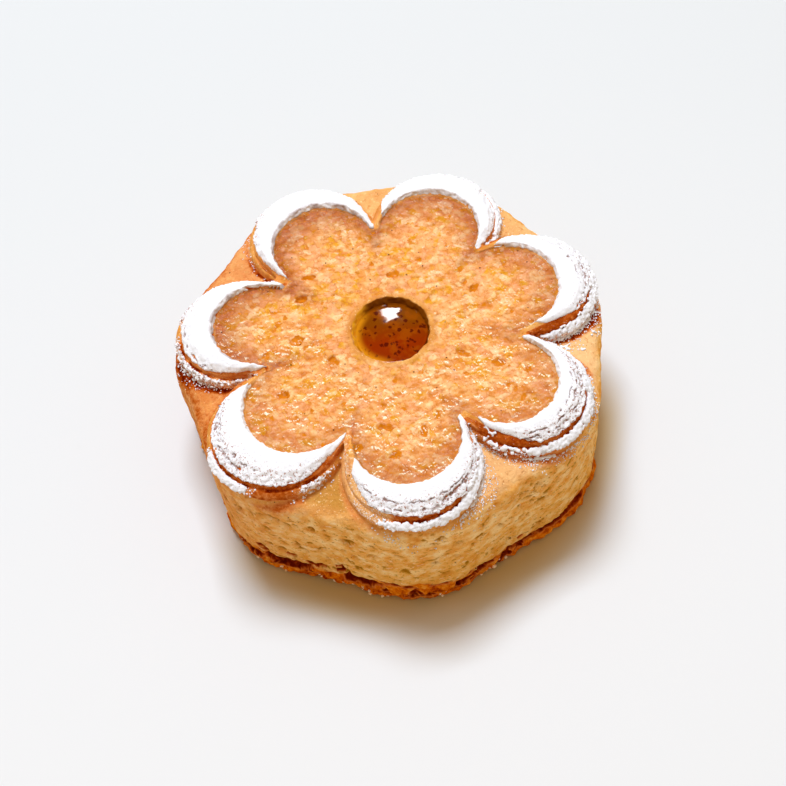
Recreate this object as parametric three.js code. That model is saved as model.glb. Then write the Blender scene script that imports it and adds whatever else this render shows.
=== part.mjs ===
// Individual gateau basque: a seven-sided baked cake whose top is pressed into a
// flower, with sugared petal rims and a jam eye in the middle.
// Millimetres, +Z up, standing on its base, the front petal towards -Y.

import * as THREE from 'three';
import { ImprovedNoise } from 'three/addons/math/ImprovedNoise.js';

// Body: an upright wall, its corners under the petals
const FIELD_HEIGHT = 31;      // flower field above the base
const SHOULDER_HEIGHT = 25;   // top of the upright wall
const SHOULDER_ROUND = 1.5;
const CORNER_REACH = 41.6;    // radius under each petal, before rounding
const CORNER_ROUNDING = 1.5;
const CORNER_SOFTNESS = 0.3;  // share of the half angle over which a corner is rounded
const BASE_TAPER = 1;         // flats drawn in at the base

// Foot: a thin browned base crust, with a crack under the pale crumb wall
const CRUST_HEIGHT = 2.2;
const CRACK_HEIGHT = 3;
const CRACK_DEPTH = 0.9;
const LIP_HEIGHT = 4;         // lower edge of the crumb wall
const FOOT_TUCK = 0.4;        // base edge drawn in under the crust

// Petals as they lie: bearing, distance of the lobe's centre, lobe radius, and for the
// side that follows the petal, the body's radius at the flat and the field's at the valley;
// sugar is the share of the petal's half angle that is covered before and after its middle,
// ends the share of the rim's width that it covers there
const PETALS = [
  { bearing: -140, centre: 22.9, lobe: 10.5, flat: 39.6, valley: 23.6, sugar: [0.86, 1], ends: [0.9, 0.6] },
  { bearing: -87.5, centre: 24.4, lobe: 10.0, flat: 39.8, valley: 23.9, sugar: [0.8, 1], ends: [0.6, 1] },
  { bearing: -36, centre: 25.2, lobe: 9.7, flat: 40.2, valley: 25.4, sugar: [0.85, 0.96], ends: [0.45, 1] },
  { bearing: 15, centre: 24.2, lobe: 10.1, flat: 39.6, valley: 25.2, sugar: [0.87, 0.86], ends: [0.45, 1] },
  { bearing: 65, centre: 24.4, lobe: 9.9, flat: 39.9, valley: 24.9, sugar: [1, 0.86], ends: [1, 1] },
  { bearing: 115.5, centre: 24.0, lobe: 9.9, flat: 39.4, valley: 22.9, sugar: [1, 0.95], ends: [0.75, 0.75] },
  { bearing: 169.5, centre: 24.1, lobe: 9.2, flat: 39.3, valley: 23.6, sugar: [0.94, 0.93], ends: [1, 0.75] },
];
const EDGE_BLEND = 0.6;

// Raised rim round each petal, a crescent in plan that dies away at its horns
const RIM_CENTRE = 28.4;
const RIM_WIDENING = 1.9;     // rim's outer lobe over the field's
const RIM_VALLEY = 1.1;       // rim outside the field where two petals meet
const RIM_RISE = 0.9;         // inner edge above the field
const RIM_FALL = 0.9;         // outer edge below the field
const RIM_CROWN = 0.8;
const RIM_ROUND = 0.15;
const RIM_UPRIGHT = 0.75;     // share of its outer wall that stands upright
const INNER_STEP = 0.3;       // plan width of the step down to the field
const HORN_START = 0.84;      // share of the half angle where the rim starts to sink

// Ledge below and outside the rim, with a groove between them
const LEDGE_CENTRE = 29;
const LEDGE_WIDENING = 2.7;
const LEDGE_VALLEY = 2.9;     // ledge outside the field there
const LEDGE_DROP = 2.6;       // outer edge below the field
const LEDGE_THICKNESS = 1.5;
const LEDGE_ROUND = 0.5;
const GROOVE_DROP = 2.1;
const GROOVE_WIDTH = 0.35;    // share of the way from rim to ledge edge
const VALLEY_RISE = 0.5;      // ledge is higher where two petals meet
const FACET_SAG = 0.5;

// Eye: a blind hole with a rounded lip, a little to one side
const EYE_OFFSET = 0.7;
const EYE_LIP_RADIUS = 7.6;
const EYE_MOUTH_RADIUS = 7.45;
const EYE_THROAT_RADIUS = 6.95;
const EYE_WALL_RADIUS = 6.6;
const EYE_FLOOR_RADIUS = 6.2;
const EYE_MOUTH_DROP = 0.15;
const EYE_THROAT_DROP = 0.9;
const EYE_WALL_DROP = 2.2;
const EYE_DEPTH = 11;
const EYE_APRON = 1.2;        // smooth dough round the lip

// Jam that fills the eye, slightly domed
const JAM_CLEARANCE = 0.3;
const JAM_DROP = 1.5;         // edge of the jam below the field
const JAM_SIDE = 0.7;
const JAM_CROWN = 0.7;

// Icing sugar lying on the rims
const SUGAR_CLEARANCE = 0.12;
const SUGAR_THICKNESS = 0.55;
const SUGAR_EDGE = 0.35;      // share of the thickness left at its edges
const SUGAR_TOE = 0.12;       // how far it spreads on the field
const SUGAR_TAPER = 0.35;     // share of the half angle over which its ends draw in

// Unevenness of hand-worked dough
const BUMP_CELL = 3.4;
const FIELD_BUMP = 0.5;
const RIM_BUMP = 0.2;
const WALL_BUMP = 0.35;
const EDGE_BUMP = 0.4;
const CRUST_BUMP = 0.45;

// Mesh steps
const STEPS_PER_HALF_PETAL = 9;
const STEP_CROWDING = 1.7;    // steps crowd towards the valleys
const WALL_STEPS = 5;
const FACET_STEPS = 3;
const FIELD_STEPS = 13;
const RIM_STEPS = [1, 0.62, 0.25, 0];
const JAM_STEPS = 6;
const JAM_SEGMENTS = 36;

const noise = new ImprovedNoise();
const { lerp, smoothstep, degToRad } = THREE.MathUtils;

function smoothMax(a, b, blend) {
  return (a + b + Math.hypot(a - b, blend)) / 2;
}

function smoothMin(a, b, blend) {
  return (a + b - Math.hypot(a - b, blend)) / 2;
}

// Smooth unevenness from -1 to 1 at a point; each lot has its own pattern.
function bump(angle, radius, z, lot) {
  const x = radius * Math.cos(angle) / BUMP_CELL;
  const y = radius * Math.sin(angle) / BUMP_CELL;
  return noise.noise(x + lot, y - lot, z / BUMP_CELL);
}

// How far out a circle reaches, at an angle from the bearing of its centre.
function lobeReach(offset, centre, radius) {
  const across = centre * Math.sin(offset);
  return centre * Math.cos(offset) + Math.sqrt(Math.max(radius ** 2 - across ** 2, 0));
}

function neighbour(index, side) {
  return (index + side + PETALS.length) % PETALS.length;
}

// A petal's half angle, out to the valley that it shares with its neighbour.
function halfAngle(index, side) {
  const gap = (PETALS[neighbour(index, side)].bearing - PETALS[index].bearing) * side;
  return degToRad((gap + 360) % 360) / 2;
}

// One place round the cake: its petal, the flat and the valley beside it, the share of
// the way from the petal's middle to the valley, and the angles from there and from +X.
function placeRound(index, step) {
  const side = Math.sign(step) || 1;
  const share = 1 - (1 - Math.abs(step) / STEPS_PER_HALF_PETAL) ** STEP_CROWDING;
  const petal = PETALS[index];
  const { flat, valley } = side > 0 ? petal : PETALS[neighbour(index, -1)];
  const offset = halfAngle(index, side) * share * side;
  return { petal, flat, valley, share, offset, angle: degToRad(petal.bearing) + offset };
}

// The seven-sided body at a height: corners under the petals, flats between them.
function bodyReach(place, z) {
  const softest = Math.hypot(1, CORNER_SOFTNESS) - CORNER_SOFTNESS;
  const soft = (Math.hypot(place.share, CORNER_SOFTNESS) - CORNER_SOFTNESS) / softest;
  const turn = (Math.PI / PETALS.length) * (1 - soft);
  const flat = place.flat - BASE_TAPER * (1 - smoothstep(z, 0, SHOULDER_HEIGHT));
  return smoothMin(flat / Math.cos(turn), CORNER_REACH, CORNER_ROUNDING);
}

function wallReach(place, z) {
  return bodyReach(place, z) + WALL_BUMP * bump(place.angle, CORNER_REACH, z, 1);
}

// Plan outlines of the flower at one place: the field, its rim and the ledge.
function flowerEdges({ petal, valley, offset, angle }) {
  const field = lobeReach(offset, petal.centre, petal.lobe);
  const rim = lobeReach(offset, RIM_CENTRE, petal.lobe + RIM_WIDENING);
  const ledge = lobeReach(offset, LEDGE_CENTRE, petal.lobe + LEDGE_WIDENING);
  return {
    field: smoothMax(field, valley, EDGE_BLEND),
    rim: smoothMax(rim, valley + RIM_VALLEY, EDGE_BLEND) + EDGE_BUMP * bump(angle, rim, 0, 3),
    ledge: smoothMax(ledge, valley + LEDGE_VALLEY, EDGE_BLEND) + EDGE_BUMP * bump(angle, ledge, 0, 5),
  };
}

// Top of the rim at one place, from its inner edge (0) to its outer edge (1).
function rimPoint(place, edges, across) {
  const radius = lerp(edges.field + RIM_ROUND, edges.rim - RIM_ROUND, across);
  const strength = 1 - smoothstep(place.share, HORN_START, 1);
  const slope = RIM_RISE * (1 - across) - RIM_FALL * across ** 2;
  const swell = RIM_CROWN * across * (1 - across);
  const uneven = RIM_BUMP * bump(place.angle, radius, 0, 9);
  return [radius, FIELD_HEIGHT + (slope + swell) * strength + uneven];
}

// The parts of the cake's outline cut at one place, as [radius, height] pairs, from
// the middle of the base, up the wall and over the top to the bottom of the eye.

function footSection(place) {
  const { angle } = place;
  const crust = bodyReach(place, 0) + CRUST_BUMP * bump(angle, CORNER_REACH, 0, 2);
  const crack = CRACK_DEPTH * (1 + bump(angle, CORNER_REACH, CRACK_HEIGHT, 6));
  const lip = LIP_HEIGHT + CRUST_BUMP * bump(angle, CORNER_REACH, 0, 4);
  return [
    [0, 0],
    [crust / 2, 0],
    [crust - FOOT_TUCK, 0],
    [crust, CRUST_HEIGHT / 2],
    [crust - FOOT_TUCK / 2, CRUST_HEIGHT],
    [wallReach(place, CRACK_HEIGHT) - crack, CRACK_HEIGHT],
    [wallReach(place, lip), lip],
  ];
}

function wallSection(place) {
  const points = [];
  for (let step = 1; step <= WALL_STEPS; step += 1) {
    const z = lerp(LIP_HEIGHT, SHOULDER_HEIGHT, step / WALL_STEPS);
    points.push([wallReach(place, z), z]);
  }
  return points;
}

// The shoulder between two petals rises as a sagging facet to the foot of the ledge.
function shoulderSection(place, hollow, ledgeFoot) {
  const radius = wallReach(place, SHOULDER_HEIGHT) - SHOULDER_ROUND;
  const z = SHOULDER_HEIGHT + SHOULDER_ROUND;
  const points = [];
  for (let step = 0; step < FACET_STEPS; step += 1) {
    const along = step / FACET_STEPS;
    const sag = FACET_SAG * hollow * along * (1 - along);
    points.push([lerp(radius, ledgeFoot[0], along), lerp(z, ledgeFoot[1], along) - sag]);
  }
  return points;
}

function flowerSection(place) {
  const edges = flowerEdges(place);
  const hollow = smoothstep(place.share, HORN_START / 2, 1);
  const ledgeTop = FIELD_HEIGHT - LEDGE_DROP + VALLEY_RISE * hollow;
  const groove = FIELD_HEIGHT - GROOVE_DROP + VALLEY_RISE * hollow;
  const ledgeFoot = [edges.ledge - LEDGE_ROUND / 2, ledgeTop - LEDGE_THICKNESS];
  const rim = RIM_STEPS.map((across) => rimPoint(place, edges, across));
  return [
    ...shoulderSection(place, hollow, ledgeFoot),
    ledgeFoot,
    [edges.ledge, ledgeTop - LEDGE_THICKNESS / 3],
    [edges.ledge - LEDGE_ROUND, ledgeTop],
    [lerp(edges.rim, edges.ledge, GROOVE_WIDTH), groove],
    [edges.rim, groove],
    [edges.rim, lerp(groove, rim[0][1], RIM_UPRIGHT)],
    ...rim,
    ...fieldSection(place, fieldEdge(edges)),
  ];
}

function eyeReach(angle, radius) {
  return lobeReach(angle, EYE_OFFSET, radius);
}

// Foot of the step from the rim down to the field.
function fieldEdge(edges) {
  return edges.field - INNER_STEP + RIM_ROUND;
}

function fieldPoint({ angle }, radius) {
  return [radius, FIELD_HEIGHT + FIELD_BUMP * bump(angle, radius, 0, 7)];
}

function fieldSection(place, outerRadius) {
  const inner = eyeReach(place.angle, EYE_LIP_RADIUS + EYE_APRON);
  const points = [];
  for (let step = 0; step < FIELD_STEPS; step += 1) {
    points.push(fieldPoint(place, lerp(outerRadius, inner, step / (FIELD_STEPS - 1))));
  }
  return points;
}

function eyeSection({ angle }) {
  return [
    [eyeReach(angle, EYE_LIP_RADIUS), FIELD_HEIGHT],
    [eyeReach(angle, EYE_MOUTH_RADIUS), FIELD_HEIGHT - EYE_MOUTH_DROP],
    [eyeReach(angle, EYE_THROAT_RADIUS), FIELD_HEIGHT - EYE_THROAT_DROP],
    [eyeReach(angle, EYE_WALL_RADIUS), FIELD_HEIGHT - EYE_WALL_DROP],
    [eyeReach(angle, EYE_FLOOR_RADIUS), FIELD_HEIGHT - EYE_DEPTH],
    [0, FIELD_HEIGHT - EYE_DEPTH],
  ];
}

function cakeSection(place) {
  return [...footSection(place), ...wallSection(place), ...flowerSection(place), ...eyeSection(place)];
}

// Places all the way round, petal by petal.
function placesRound() {
  const places = [];
  for (let index = 0; index < PETALS.length; index += 1) {
    for (let step = 1 - STEPS_PER_HALF_PETAL; step <= STEPS_PER_HALF_PETAL; step += 1) {
      places.push(placeRound(index, step));
    }
  }
  return places;
}

function onTheTurn(angle, [radius, z]) {
  return new THREE.Vector3(radius * Math.cos(angle), radius * Math.sin(angle), z);
}

// A lathe body whose section changes from place to place.
function cakeGeometry() {
  const places = placesRound();
  const profile = cakeSection(places[0]).map(([radius, z]) => new THREE.Vector2(radius, z));
  const geometry = new THREE.LatheGeometry(profile, places.length);
  const position = geometry.getAttribute('position');
  for (let column = 0; column <= places.length; column += 1) {
    const place = places[column % places.length];
    cakeSection(place).forEach((point, row) => {
      const { x, y, z } = onTheTurn(place.angle, point);
      position.setXYZ(column * profile.length + row, x, y, z);
    });
  }
  geometry.computeVertexNormals();
  return geometry;
}

// Jam up to its level in the eye.
function jamGeometry() {
  const floor = FIELD_HEIGHT - EYE_DEPTH + JAM_CLEARANCE;
  const level = FIELD_HEIGHT - JAM_DROP;
  const radius = EYE_WALL_RADIUS - JAM_CLEARANCE;
  const profile = [
    new THREE.Vector2(0, floor),
    new THREE.Vector2(EYE_FLOOR_RADIUS - JAM_CLEARANCE, floor),
    new THREE.Vector2(radius, level - JAM_SIDE),
  ];
  for (let step = 0; step <= JAM_STEPS; step += 1) {
    const turn = (Math.PI / 2) * (step / JAM_STEPS);
    profile.push(new THREE.Vector2(radius * Math.cos(turn), level + JAM_CROWN * Math.sin(turn)));
  }
  const geometry = new THREE.LatheGeometry(profile, JAM_SEGMENTS);
  geometry.rotateX(Math.PI / 2);
  geometry.translate(EYE_OFFSET, 0, 0);
  return geometry;
}

// One loop round a sugar blanket at one place: up the rim's inner step, across the rim and
// back underneath. Towards its ends the blanket draws in to the rim's inner edge.
function sugarLoop(place, end, endWidth) {
  const edges = flowerEdges(place);
  const reach = lerp(1, endWidth, smoothstep(place.share, end - SUGAR_TAPER, end));
  const heap = SUGAR_THICKNESS * (1 - place.share / 2);
  const [footRadius, footHeight] = fieldPoint(place, fieldEdge(edges));
  const inside = [footRadius - SUGAR_CLEARANCE, footHeight + SUGAR_CLEARANCE];
  const top = [[inside[0] - SUGAR_TOE, inside[1] + SUGAR_TOE]];
  const underside = [inside];
  for (const step of [...RIM_STEPS].reverse()) {
    const [radius, z] = rimPoint(place, edges, step * reach);
    const depth = heap * lerp(SUGAR_EDGE, 1, Math.sin(Math.PI * step));
    top.push([radius, z + SUGAR_CLEARANCE + depth]);
    underside.unshift([radius, z + SUGAR_CLEARANCE]);
  }
  return [...top, ...underside].map((point) => onTheTurn(place.angle, point));
}

// A blanket of sugar over one petal's rim, from horn to horn.
function sugarGeometry(index) {
  const loops = [];
  for (let step = -STEPS_PER_HALF_PETAL; step <= STEPS_PER_HALF_PETAL; step += 1) {
    const place = placeRound(index, step);
    const side = step < 0 ? 0 : 1;
    const end = place.petal.sugar[side];
    if (place.share <= end) {
      loops.push(sugarLoop(place, end, place.petal.ends[side]));
    }
  }
  const count = loops[0].length;
  const last = (loops.length - 1) * count;
  const triangles = [];
  for (let start = 0; start < last; start += count) {
    for (let turn = 0; turn < count; turn += 1) {
      const here = start + turn;
      const beside = start + ((turn + 1) % count);
      triangles.push(here, beside, here + count, beside, beside + count, here + count);
    }
  }
  for (let turn = 0; turn + 1 < count / 2; turn += 1) {
    const [a, b, c, d] = [turn, turn + 1, count - 2 - turn, count - 1 - turn];
    triangles.push(a, c, b, a, d, c);
    triangles.push(last + a, last + b, last + c, last + a, last + c, last + d);
  }
  const geometry = new THREE.BufferGeometry().setFromPoints(loops.flat());
  geometry.setIndex(triangles);
  geometry.computeVertexNormals();
  return geometry;
}

function piece(name, geometry, color, roughness) {
  const mesh = new THREE.Mesh(geometry, new THREE.MeshStandardMaterial({ color, roughness, metalness: 0 }));
  mesh.name = name;
  return mesh;
}

const cake = new THREE.Group();
cake.add(piece('pastry', cakeGeometry(), 0xe0a05a, 0.7));
cake.add(piece('jam', jamGeometry(), 0x8a3a08, 0.12));
PETALS.forEach((petal, index) => {
  cake.add(piece(`sugar_${index + 1}`, sugarGeometry(index), 0xf8f8fb, 0.95));
});

// The origin is the middle of the cake's box, on its base.
const middle = new THREE.Box3().setFromObject(cake).getCenter(new THREE.Vector3());
cake.position.set(-middle.x, -middle.y, 0);

export default cake;
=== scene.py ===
# Individual gateau basque: a seven-sided baked cake with a flower-pressed top, icing sugar on
# the petals' raised rims and jam in the eye. Metres, +Z up, the front petal towards -Y.
import math

import bpy
import numpy as np
from mathutils import Matrix, Vector, noise
from mathutils.bvhtree import BVHTree


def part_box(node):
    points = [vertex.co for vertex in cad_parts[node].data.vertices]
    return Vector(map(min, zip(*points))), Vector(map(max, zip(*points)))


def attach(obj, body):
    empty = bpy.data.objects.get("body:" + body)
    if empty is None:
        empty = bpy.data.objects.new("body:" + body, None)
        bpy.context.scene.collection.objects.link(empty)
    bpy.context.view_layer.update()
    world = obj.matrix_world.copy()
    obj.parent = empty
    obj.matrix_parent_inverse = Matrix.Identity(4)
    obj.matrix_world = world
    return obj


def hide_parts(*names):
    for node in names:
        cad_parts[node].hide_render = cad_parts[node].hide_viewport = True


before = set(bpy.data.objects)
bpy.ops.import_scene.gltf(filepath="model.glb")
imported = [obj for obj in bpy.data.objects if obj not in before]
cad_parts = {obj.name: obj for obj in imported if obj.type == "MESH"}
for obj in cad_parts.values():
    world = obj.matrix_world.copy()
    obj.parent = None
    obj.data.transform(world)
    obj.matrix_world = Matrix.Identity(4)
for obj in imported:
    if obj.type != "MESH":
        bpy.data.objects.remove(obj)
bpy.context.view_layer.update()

# The cake is one piece of rich short dough, baked in a ring on a thin base crust. Its wall is
# open crumb, and its top is pressed into a flower: an egg-washed field, a roll of dough round
# each petal, and a lower ledge outside the roll. The sizes below are millimetres.
MM = 0.001
EYE_OFFSET = 0.7
WALL_RADIUS = 40
PETALS = np.array([  # bearing, distance of the lobe's centre, lobe radius, the next valley's radius
    (-140, 22.9, 10.5, 23.6),
    (-87.5, 24.4, 10.0, 23.9),
    (-36, 25.2, 9.7, 25.4),
    (15, 24.2, 10.1, 25.2),
    (65, 24.4, 9.9, 24.9),
    (115.5, 24.0, 9.9, 22.9),
    (169.5, 24.1, 9.2, 23.6),
])
HALF_PETAL = math.pi / len(PETALS)
ROLL = (28.4, 1.9, 1.1)  # centre of its lobes, how much wider than the field's, how much past the valley
LEDGE = (29.0, 2.7, 2.9)
VALLEY_ROUNDING = 0.6
# Radii or heights over which each part of the surface comes in, and over WALL_TOP fades out.
FIELD_LEVEL = (29.6, 30.3)
EYE_EDGE = (7.7, 9.2)
WALL_FACE = (36, 37.5)
WALL_TOP = (25.0, 26.6)
FOOT_FACE = (33, 36)
SHOULDER_LEVEL = (24.6, 26.2)
LIP_HEIGHT = 4.3
LIP_RISES = (  # bearing, how much higher the crumb's lower edge is there, spread in degrees
    (-94, 3.0, 12),
    (-136, 1.2, 9),
)
FIELD_PITS = (  # x, y from the flower's middle, length, width, turn in degrees, depth
    (-15.7, 9.5, 2.8, 1.5, 20, 0.7),
    (-16.9, 0.1, 3.4, 2.6, 0, 0.45),
    (-10.5, -5.6, 2.8, 1.4, -50, 0.7),
    (-13.6, 14.5, 3.6, 1.1, 5, 0.6),
    (2.5, 12.8, 2.6, 1.5, 10, 0.5),
    (17.5, 7.5, 2.8, 1.4, 40, 0.55),
    (-2.2, -21.5, 3.6, 1.5, -20, 0.7),
    (4.4, -23.0, 1.3, 2.8, 5, 0.6),
    (-1.2, -27.4, 2.0, 1.6, 0, 0.6),
    (-7.5, -25.2, 2.4, 1.3, 30, 0.5),
    (19.5, -10.5, 2.8, 1.6, 0, 0.55),
    (24.5, -12.5, 2.0, 1.4, 40, 0.5),
    (-20.3, -11.8, 2.4, 1.9, 0, 0.6),
    (13.5, -7.5, 2.4, 1.3, -30, 0.5),
)
SMALL_DENTS = 150
SLITS = 520
SLIT_LEVELS = (5, 23.5)
SLIT_LEAN_RIGHT, SLIT_LEAN_LEFT, SLIT_LEAN_SPREAD = 28, -14, 26
FOOT_HOLLOWS = (  # bearing, height, length, height of the gap, depth
    (-141, 3.2, 4.6, 3.0, 1.5),
    (-134, 7.4, 2.2, 1.3, 0.8),
    (-126.5, 4.2, 8.6, 3.0, 1.6),
    (-125.5, 8.2, 1.8, 1.4, 0.9),
    (-118, 5.6, 2.4, 1.3, 0.9),
    (-111, 7.4, 3.2, 1.5, 1.0),
    (-105.5, 4.4, 7.4, 2.6, 1.5),
    (-97, 6.2, 3.2, 1.2, 0.8),
    (-90.5, 2.0, 5.0, 1.9, 1.2),
    (-85, 5.2, 3.4, 1.2, 0.8),
    (-78, 3.0, 4.4, 1.7, 1.1),
    (-71.5, 3.8, 5.8, 1.7, 1.2),
    (-56, 3.2, 6.0, 1.3, 1.2),
    (-47, 3.6, 5.0, 1.4, 1.2),
    (-39, 4.4, 4.0, 1.5, 1.0),
)
SMALL_FOOT_HOLLOWS = 34
HIDDEN_HOLLOW_BEARINGS = np.arange(-30, 215, 10.0)

jam_low, jam_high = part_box("jam")
flower_middle = np.array([
    (jam_low.x + jam_high.x) / 2 / MM - EYE_OFFSET,
    (jam_low.y + jam_high.y) / 2 / MM,
    0.0,
])
draw = np.random.default_rng(7)


def new_piece(name, mesh):
    """A piece with this mesh, in the scene and the only one that operators act on."""
    piece = bpy.data.objects.new(name, mesh)
    bpy.context.scene.collection.objects.link(piece)
    bpy.ops.object.select_all(action="DESELECT")
    piece.select_set(True)
    bpy.context.view_layer.objects.active = piece
    return piece


def copy_of(solid, name):
    """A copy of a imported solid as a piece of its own, its loose triangles merged."""
    piece = new_piece(name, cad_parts[solid].data.copy())
    piece.data.materials.clear()
    bpy.ops.object.mode_set(mode="EDIT")
    bpy.ops.mesh.select_all(action="SELECT")
    bpy.ops.mesh.remove_doubles(threshold=1e-6)
    bpy.ops.object.mode_set(mode="OBJECT")
    return piece


def pair_triangles():
    """Joins the active piece's triangles in pairs, so that it subdivides evenly."""
    bpy.ops.object.mode_set(mode="EDIT")
    bpy.ops.mesh.select_all(action="SELECT")
    bpy.ops.mesh.tris_convert_to_quads(face_threshold=math.pi, shape_threshold=math.pi)
    bpy.ops.mesh.select_all(action="DESELECT")
    bpy.ops.object.mode_set(mode="OBJECT")


def finish_with(piece, kind, **settings):
    """Adds one modifier to the active piece and applies it."""
    bpy.ops.object.modifier_add(type=kind)
    modifier = piece.modifiers[-1]
    for name, value in settings.items():
        setattr(modifier, name, value)
    bpy.ops.object.modifier_apply(modifier=modifier.name)


def places(mesh):
    """The mesh's points in millimetres from the flower's middle."""
    flat = np.empty(len(mesh.vertices) * 3)
    mesh.vertices.foreach_get("co", flat)
    return flat.reshape(-1, 3) / MM - flower_middle


def put_back(mesh, points):
    mesh.vertices.foreach_set("co", ((points + flower_middle) * MM).ravel())
    mesh.update()


def facings(mesh):
    flat = np.empty(len(mesh.vertices) * 3)
    mesh.vertices.foreach_get("normal", flat)
    return flat.reshape(-1, 3)


def attribute(mesh, name, values):
    made = mesh.attributes.new(name, "FLOAT", "POINT")
    made.data.foreach_set("value", np.asarray(values, np.float32))


def ease(value, low, high):
    """0 below low, 1 above high, smooth between."""
    t = np.clip((value - low) / (high - low), 0, 1)
    return t * t * (3 - 2 * t)


def band(value, start, whole, fading, gone):
    """0 below start, 1 from whole to fading, 0 again above gone."""
    return ease(value, start, whole) * (1 - ease(value, fading, gone))


def lumps(points, cell, lot, rise=1):
    """Smooth unevenness from -1 to 1, with lumps of about one cell, flatter where rise is over 1."""
    offset = np.array([lot * 17.3, -lot * 9.1, lot * 4.7])
    return np.array([noise.noise(p) for p in (points * [1, 1, rise] / cell + offset).tolist()])


def layered(points, *layers):
    """Layers of lumps added up, each given by its height, cell, lot and, where it has one, rise."""
    return sum(height * lumps(points, *layer) for height, *layer in layers)


def oval(dx, dy, length, width, turned):
    """Places along and across a turned oval, as shares of its half length and half width."""
    c, s = math.cos(turned), math.sin(turned)
    return (dx * c + dy * s) / (length / 2), (dy * c - dx * s) / (width / 2)


def round_wall(bearings, at):
    """How far round the wall each bearing is from one place."""
    return ((bearings - at + np.pi) % (2 * np.pi) - np.pi) * WALL_RADIUS


def eye_distance(points):
    return np.hypot(points[:, 0] - EYE_OFFSET, points[:, 1])


def lobe_reach(offset, centre, radius, valley):
    """How far out a petal's circle reaches at a turn from its bearing, not less than the valley."""
    beside = centre * np.sin(offset)
    reach = centre * np.cos(offset) + np.sqrt(np.maximum(radius ** 2 - beside ** 2, 0))
    return (reach + valley + np.hypot(reach - valley, VALLEY_ROUNDING)) / 2


def petal_edges(petal, turn):
    """Radii of the field's, the roll's and the ledge's edges at a turn from a petal's bearing."""
    lobe = PETALS[petal, 2]
    valley = np.where(np.asarray(turn) > 0, PETALS[petal, 3], PETALS[petal - 1, 3])
    edges = {"field": lobe_reach(turn, PETALS[petal, 1], lobe, valley)}
    for name, (centre, wider, past) in (("roll", ROLL), ("ledge", LEDGE)):
        edges[name] = lobe_reach(turn, centre, lobe + wider, valley + past)
    return edges


def on_flower(points):
    """Each point's petal, its turn from the petal's bearing, also as a share of the half petal,
    its radius, the radii of the edges there, and how far across the roll it lies."""
    bearing = np.arctan2(points[:, 1], points[:, 0])
    turns = bearing[:, None] - np.radians(PETALS[:, 0])[None, :]
    turns = (turns + np.pi) % (2 * np.pi) - np.pi
    petal = np.abs(turns).argmin(1)
    turn = turns[np.arange(len(points)), petal]
    place = petal_edges(petal, turn) | {
        "petal": petal,
        "share": turn / HALF_PETAL,
        "bearing": np.degrees(bearing),
        "radius": np.hypot(points[:, 0], points[:, 1]),
    }
    place["across"] = (place["radius"] - place["field"]) / (place["roll"] - place["field"])
    return place


cake = copy_of("pastry", "baked_cake")
pair_triangles()

# The base and the floor of the eye become one face each, and the wall gets more rows.
FLAT = 0.01
EYE_FLOOR = (15, 25)  # heights that it lies between
TALL_EDGE = 3
WALL_BEYOND = 30
blank = cake.data
height = np.array([v.co.z for v in blank.vertices]) / MM
for face in blank.polygons:
    heights = height[list(face.vertices)]
    if heights.max() - heights.min() < FLAT and abs(face.normal.z) > 0.99:
        face.select = heights.max() < FLAT or EYE_FLOOR[0] < heights.max() < EYE_FLOOR[1]
bpy.ops.object.mode_set(mode="EDIT")
bpy.ops.mesh.select_mode(type="FACE")
bpy.ops.mesh.dissolve_faces()
bpy.ops.mesh.select_mode(type="EDGE")
bpy.ops.mesh.select_all(action="DESELECT")
bpy.ops.object.mode_set(mode="OBJECT")
for edge in blank.edges:
    a, b = (blank.vertices[i].co for i in edge.vertices)
    edge.select = abs(a.z - b.z) > TALL_EDGE * MM and a.xy.length > WALL_BEYOND * MM
bpy.ops.object.mode_set(mode="EDIT")
bpy.ops.mesh.subdivide(number_cuts=1)
bpy.ops.object.mode_set(mode="OBJECT")
finish_with(cake, "SUBSURF", levels=2, render_levels=2)
mesh = cake.data
bpy.ops.object.shade_smooth()

skin = places(mesh)
facing = facings(mesh)
plan = on_flower(skin)
petal, share, radius, z = plan["petal"], plan["share"], plan["radius"], skin[:, 2]
past_field = radius - plan["field"]
past_roll = radius - plan["roll"]
past_ledge = radius - plan["ledge"]
from_eye = eye_distance(skin)


def towards(bearing):
    """1 where the cake faces a bearing, -1 where it faces away."""
    return np.cos(np.radians(plan["bearing"] - bearing))


# The lower edge of the crumb is ragged, and higher under the front petal.
lip = np.full(len(skin), LIP_HEIGHT)
for at, rise, spread in LIP_RISES:
    lip += rise * np.exp(-((plan["bearing"] - at) / spread) ** 2)
lip += layered(skin, (0.7, 3.2, 14, 0.2), (0.35, 1.2, 15, 0.2))
on_field = ease(-past_field, 0.1, 1.0) * ease(z, *FIELD_LEVEL) * ease(from_eye, *EYE_EDGE)
on_wall = ease(radius, *WALL_FACE) * ease(z - lip, -0.25, 0.25) * (1 - ease(z, *WALL_TOP))
on_foot = ease(radius, *FOOT_FACE) * (1 - ease(z - lip, -0.3, 0.2))
on_shoulder = ease(past_ledge, -0.4, 0.6) * ease(z, *SHOULDER_LEVEL)
lift = np.zeros(len(skin))
pit_and_shade = np.zeros(len(skin))

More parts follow.
